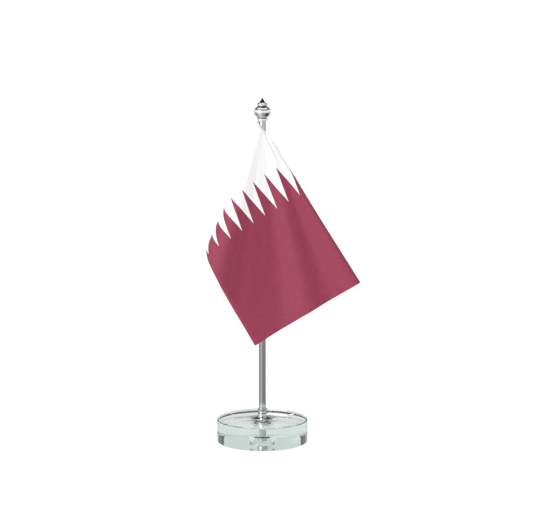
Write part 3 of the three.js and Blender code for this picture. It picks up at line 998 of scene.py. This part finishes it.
def cloth_surface(fly, hoist):
    """The hung cloth with its small wrinkles, and its normal, which points to the front."""
    point, angle, distance = drape(fly, hoist)
    normal = smooth_normal(fly, hoist)
    pleats = PLEAT_DEPTH * np.sin(np.radians(angle * 30.0 + 35.0))
    pleats *= np.exp(-(distance / 26.0) ** 2) * (1 - np.exp(-(distance / 5.0) ** 2))
    rays = RAY_DEPTH * np.sin(np.radians(angle * 62.0)) * smoothstep(distance, 20.0, 90.0)
    ripples = RIPPLE_DEPTHS[0] * np.sin(fly * 0.21 + 0.9 * np.sin(hoist * 0.13))
    ripples += RIPPLE_DEPTHS[1] * np.sin(hoist * 0.33 + 1.3 * np.sin(fly * 0.09 + 2.0))
    ripples *= smoothstep(distance, 12.0, 45.0)
    turn = 2 * math.pi * (angle - FOLD_CREST) / FOLD_PERIOD
    folds = FOLD_DEPTH_SHARE * distance * np.sin(turn) * smoothstep(angle, *FOLD_FADE)
    wrinkle = pleats + rays + ripples + folds
    return point + normal * wrinkle[..., None], normal


def curled(fly, hoist, edge_hoist, widths, grows):
    """The cloth with one long edge rolled back behind it, and its normal."""
    near, far = widths
    eased_share = np.clip((fly - CURL_EASES[0]) / (CURL_EASES[1] - CURL_EASES[0]), 0.0, 1.0)
    width = (near + (far - near) * eased_share) * smoothstep(fly, *grows)
    to_edge = np.abs(hoist - edge_hoist)
    rolled = np.maximum(width - to_edge, 0.0)
    inward = np.sign(HOIST / 2 - edge_hoist)
    root_hoist = edge_hoist + inward * np.maximum(width, to_edge)
    point, normal = cloth_surface(fly, root_hoist)
    inner, _ = cloth_surface(fly, root_hoist + inward)
    out = point - inner
    out -= (out * normal).sum(-1, keepdims=True) * normal
    out /= np.linalg.norm(out, axis=-1, keepdims=True)
    turn = (rolled / CURL_RADIUS)[..., None]
    point = point + CURL_RADIUS * (out * np.sin(turn) - normal * (1.0 - np.cos(turn)))
    return point, normal * np.cos(turn) + out * np.sin(turn)


def cloth_with_curls(fly, hoist):
    top, top_normal = curled(fly, hoist, 0.0, TOP_CURL, TOP_CURL_GROWS)
    low, low_normal = curled(fly, hoist, HOIST, LOW_CURL, LOW_CURL_GROWS)
    upper = (hoist < HOIST / 2)[..., None]
    return np.where(upper, top, low), np.where(upper, top_normal, low_normal)


def sleeve_section():
    """Arc length along the hoist sleeve's section, with the section's points."""
    control = np.array(SLEEVE_OUTLINE)
    steps = np.linalg.norm(np.diff(control, axis=0), axis=1)
    return np.concatenate([[0.0], np.cumsum(steps)]), control


SLEEVE_LENGTHS, SLEEVE_POINTS = sleeve_section()


def sleeve_at(walked):
    """The sleeve section's point at an arc length from the stitch line."""
    walked = np.clip(walked, 0.0, SLEEVE_LENGTHS[-1])
    return [np.interp(walked, SLEEVE_LENGTHS, SLEEVE_POINTS[:, axis])[..., None] for axis in (0, 1)]


def sheet_surface(fly, hoist):
    """The whole sheet: past the hoist's stitch line the cloth turns back round the cord."""
    fly = np.asarray(fly, float)
    hoist = np.asarray(hoist, float)
    point, normal = cloth_with_curls(np.maximum(fly, SLEEVE_START), hoist)
    line, _, _ = drape(np.zeros_like(hoist), hoist)
    out = point - line
    reach = np.linalg.norm(out, axis=-1, keepdims=True)
    out /= reach
    side = normal - (normal * out).sum(-1, keepdims=True) * out
    side /= np.linalg.norm(side, axis=-1, keepdims=True)
    walked = np.clip(SLEEVE_START - fly, 0.0, SLEEVE_LENGTHS[-1])
    first, second = sleeve_at(walked)
    sleeve = line + out * (first + (reach - SLEEVE_START) * first / SLEEVE_START) + side * second
    ahead = sleeve_at(walked + SLEEVE_PROBE)
    before = sleeve_at(walked - SLEEVE_PROBE)
    sleeve_normal = out * (ahead[1] - before[1]) - side * (ahead[0] - before[0])
    sleeve_normal /= np.maximum(np.linalg.norm(sleeve_normal, axis=-1, keepdims=True), 1e-9)
    in_sleeve = (fly < SLEEVE_START)[..., None]
    return np.where(in_sleeve, sleeve, point), np.where(in_sleeve, sleeve_normal, normal)


def lay_flat(piece, flats):
    """Stores each vertex's place on the flat cloth, which the print follows."""
    layer = piece.data.uv_layers.new(name="cloth")
    corners = np.zeros(len(piece.data.loops), int)
    piece.data.loops.foreach_get("vertex_index", corners)
    layer.data.foreach_set("uv", (np.asarray(flats) / (FLY, HOIST))[corners].ravel())


def flag():
    sleeve_columns = np.arange(SLEEVE_START - SLEEVE_LENGTHS[-1], SLEEVE_START, SLEEVE_SPACING)
    flat_columns = np.linspace(SLEEVE_START, FLY, int((FLY - SLEEVE_START) / CLOTH_SPACING) + 1)
    columns = np.concatenate([sleeve_columns, flat_columns])
    fine_rows = np.arange(0.0, FINE_ROWS_END, FINE_ROW_SPACING)
    flat_rows = np.linspace(FINE_ROWS_END, HOIST, int((HOIST - FINE_ROWS_END) / CLOTH_SPACING) + 1)
    rows = np.concatenate([fine_rows, flat_rows])
    fly, hoist = np.meshgrid(columns, rows, indexing="ij")
    middle, normal = sheet_surface(fly, hoist)

    edge_distance = np.minimum(np.minimum(FLY - fly, hoist), HOIST - hoist)
    hem = 1.0 - smoothstep(edge_distance, HEM_WIDTH - 0.5, HEM_WIDTH + 0.3)
    past_sleeve = fly >= SLEEVE_START
    hem *= past_sleeve
    stitch_dip = STITCH_SINK * np.exp(-((edge_distance - HEM_STITCH_INSET) / 0.6) ** 2) * past_sleeve
    front = middle + normal * (CLOTH_HALF_THICKNESS - stitch_dip)[..., None]
    back = middle - normal * (CLOTH_HALF_THICKNESS + HEM_EXTRA * hem - stitch_dip)[..., None]

    count_fly, count_hoist = fly.shape
    total = count_fly * count_hoist
    vertices = np.concatenate([front.reshape(-1, 3), back.reshape(-1, 3)])
    index = np.arange(total).reshape(count_fly, count_hoist)
    a, b = index[:-1, :-1].ravel(), index[1:, :-1].ravel()
    c, d = index[1:, 1:].ravel(), index[:-1, 1:].ravel()
    front_faces = np.stack([d, c, b, a], 1)
    back_faces = np.stack([a, b, c, d], 1) + total
    border = np.concatenate([
        index[0, :-1], index[:-1, -1], index[-1, :0:-1], index[:0:-1, 0],
    ])
    after = np.roll(border, -1)
    border_faces = np.stack([border, after, after + total, border + total], 1)
    faces = np.concatenate([front_faces, back_faces, border_faces])
    piece = new_piece("flag_sheet", vertices, faces.tolist())

    flat = np.stack([fly.ravel(), hoist.ravel()], 1)
    lay_flat(piece, np.concatenate([flat, flat]))
    return finish_piece(piece, "flag", cloth_finish, ["flag_cloth"])


def stitch_runs():
    """Flat start and end of each stitch along the hems and the hoist's sleeve."""
    inset = HEM_STITCH_INSET
    lines = [
        ((SLEEVE_START + 2, inset), (FLY - inset, inset)),
        ((FLY - inset, inset), (FLY - inset, HOIST - inset)),
        ((SLEEVE_START + 2, HOIST - inset), (FLY - inset, HOIST - inset)),
        ((SLEEVE_START + 0.4, 12.0), (SLEEVE_START + 0.4, HOIST - 1.5)),
    ]
    for start, end in lines:
        start, end = np.array(start), np.array(end)
        length = np.linalg.norm(end - start)
        course = (end - start) / length
        for number in range(int(length / STITCH_PITCH)):
            begin = start + course * (number + 0.2) * STITCH_PITCH
            yield begin, begin + course * STITCH_LENGTH


def stitching():
    """Each stitch is a short arched thread, on the front and again on the back."""
    sides = 6
    shares = np.linspace(0.0, 1.0, 6)
    vertices, faces, flats = [], [], []
    for begin, end in stitch_runs():
        flat = begin + (end - begin) * shares[:, None]
        point, normal = sheet_surface(flat[:, 0], flat[:, 1])
        near_hem = flat[:, 0] > SLEEVE_START + 1
        course = point[-1] - point[0]
        course /= np.linalg.norm(course)
        for face_side in (1.0, -1.0):
            lift = CLOTH_HALF_THICKNESS - STITCH_SINK
            if face_side < 0:
                lift = np.where(near_hem, lift + HEM_EXTRA, SLEEVE_STITCH_LIFT)
            arch = lift + STITCH_ARCH * (np.sin(math.pi * shares) - 0.5)
            centre = point + normal * (face_side * arch)[:, None]
            across = np.cross(course, normal)
            first = len(vertices)
            for ring_index in range(len(shares)):
                taper = THREAD_RADIUS * (0.45 if ring_index in (0, len(shares) - 1) else 1.0)
                for side in range(sides):
                    angle = 2 * math.pi * side / sides
                    vertices.append(
                        centre[ring_index]
                        + across[ring_index] * taper * math.cos(angle)
                        + normal[ring_index] * taper * math.sin(angle))
                    flats.append(flat[ring_index])
            for ring_index in range(len(shares) - 1):
                for side in range(sides):
                    after = (side + 1) % sides
                    low = first + ring_index * sides
                    faces.append((low + side, low + after, low + sides + after, low + sides + side))
            faces.append(tuple(first + side for side in reversed(range(sides))))
            last = first + (len(shares) - 1) * sides
            faces.append(tuple(last + side for side in range(sides)))
    piece = new_piece("flag_stitching", vertices, faces)
    lay_flat(piece, flats)
    return finish_piece(piece, "flag", thread_finish)


# ---- Cord ---------------------------------------------------------------------------

def resampled(path, step):
    path = np.asarray(path, float)
    lengths = np.concatenate([[0.0], np.cumsum(np.linalg.norm(np.diff(path, axis=0), axis=1))])
    count = max(2, int(round(lengths[-1] / step)) + 1)
    stations = np.linspace(0.0, lengths[-1], count)
    return np.stack([np.interp(stations, lengths, path[:, axis]) for axis in range(3)], 1), stations


def tangents(path, closed):
    along = np.roll(path, -1, 0) - np.roll(path, 1, 0) if closed else np.gradient(path, axis=0)
    return along / np.linalg.norm(along, axis=1, keepdims=True)


def sweep(path, radius, sides, closed=False):
    """Points and faces of a round tube along a path, with flat caps unless it closes."""
    count = len(path)
    tangent = tangents(path, closed)
    side = np.cross(tangent[0], (0.3, 0.2, 0.9))
    side /= np.linalg.norm(side)
    vertices = []
    for station in range(count):
        side = side - (side @ tangent[station]) * tangent[station]
        side /= np.linalg.norm(side)
        other = np.cross(tangent[station], side)
        for index in range(sides):
            angle = 2 * math.pi * index / sides
            vertices.append(path[station] + radius * (math.cos(angle) * side + math.sin(angle) * other))
    faces = []
    stations = count if closed else count - 1
    for station in range(stations):
        low = station * sides
        high = (station + 1) % count * sides
        shift = 0
        if closed and station == count - 1:
            gaps = [np.linalg.norm(vertices[low] - vertices[high + k]) for k in range(sides)]
            shift = int(np.argmin(gaps))
        for index in range(sides):
            after = (index + 1) % sides
            faces.append((
                low + index, low + after,
                high + (after + shift) % sides, high + (index + shift) % sides,
            ))
    if not closed:
        faces.append(tuple(reversed(range(sides))))
        faces.append(tuple(range((count - 1) * sides, count * sides)))
    return vertices, faces


def laid_cord(path, closed=False):
    """Three strands twisted round a path."""
    path, stations = resampled(path, CORD_STEP)
    if closed:
        path, stations = path[:-1], stations[:-1]
    length = stations[-1] + (CORD_STEP if closed else 0.0)
    turns = max(1, round(length / CORD_LAY)) if closed else length / CORD_LAY
    tangent = tangents(path, closed)
    reference = np.array((0.05, 0.1, 1.0)) if closed else np.array((0.3, 1.0, 0.1))
    side = np.cross(tangent, reference)
    side /= np.linalg.norm(side, axis=1, keepdims=True)
    other = np.cross(tangent, side)
    parts = []
    for strand in range(3):
        angle = 2 * math.pi * (stations / length * turns + strand / 3)
        offset = np.cos(angle)[:, None] * side + np.sin(angle)[:, None] * other
        parts.append(sweep(path + offset * STRAND_OFFSET, STRAND_RADIUS, STRAND_SIDES, closed))
    return parts


def knot(centre, size, tilt):
    """A tight overhand knot, as one plain cord bent into a trefoil."""
    turn = np.linspace(0.0, 2 * math.pi, 90, endpoint=False)
    loop = np.stack([
        np.sin(turn) + 2 * np.sin(2 * turn),
        np.cos(turn) - 2 * np.cos(2 * turn),
        -1.4 * np.sin(3 * turn),
    ], 1) * size / TREFOIL_REACH
    cosine, sine = math.cos(tilt), math.sin(tilt)
    tilted = loop @ np.array([[1, 0, 0], [0, cosine, -sine], [0, sine, cosine]])
    return [sweep(tilted + centre, KNOT_CORD_RADIUS, STRAND_SIDES, closed=True)]


def hoist_point(distance):
    point, _, _ = drape(np.array([0.0]), np.array([distance]))
    return point[0]


def flag_cord():
    """Neck loop, knot, the run inside the hoist sleeve, lower knot and the loop on the pole."""
    neck_bottom = top_of("pole_tube") + NECK_FLANGE_THICKNESS
    neck_height = (neck_bottom + top_of("top_insert")) / 2
    neck_radius = NECK_RADIUS + CORD_GAP + CORD_RADIUS
    pole_radius = radius_of("pole_tube") + CORD_GAP + CORD_RADIUS
    outwards = HOIST_TOP * (1, 1, 0)
    outwards = outwards / np.linalg.norm(outwards)
    top_knot = outwards * TOP_KNOT_RADIUS_ON_NECK
    top_knot[2] = neck_height - TOP_KNOT_DROP
    entry = hoist_point(CORD_ENTRY)
    leaving = hoist_point(CORD_EXIT)
    lower = leaving * (1, 1, 0)
    lower = lower / np.linalg.norm(lower) * (pole_radius + KNOT_RADIUS)
    lower[2] = leaving[2] - LOWER_LOOP_DROP
    parts = laid_cord(arc(neck_radius, neck_height), closed=True)
    parts += laid_cord(arc(pole_radius, lower[2]), closed=True)
    parts += laid_cord([top_knot, entry, leaving, lower])
    parts += knot(top_knot, KNOT_RADIUS, 0.6)
    parts += knot(lower, KNOT_RADIUS, 1.1)
    tail = [lower, lower + (-0.6, -0.8, -1.6), lower + (-0.9, -1.0, -4.2), lower + (-0.8, -0.8, -6.5)]
    parts += laid_cord(tail)
    vertices, faces = [], []
    for part_vertices, part_faces in parts:
        first = len(vertices)
        vertices += list(part_vertices)
        faces += [tuple(first + corner for corner in face) for face in part_faces]
    piece = new_piece("hoist_cord", vertices, faces)
    return finish_piece(piece, "flag", cord_finish, ["flag_cord"])


sheet = flag()
stitches = stitching()
flag_cord()
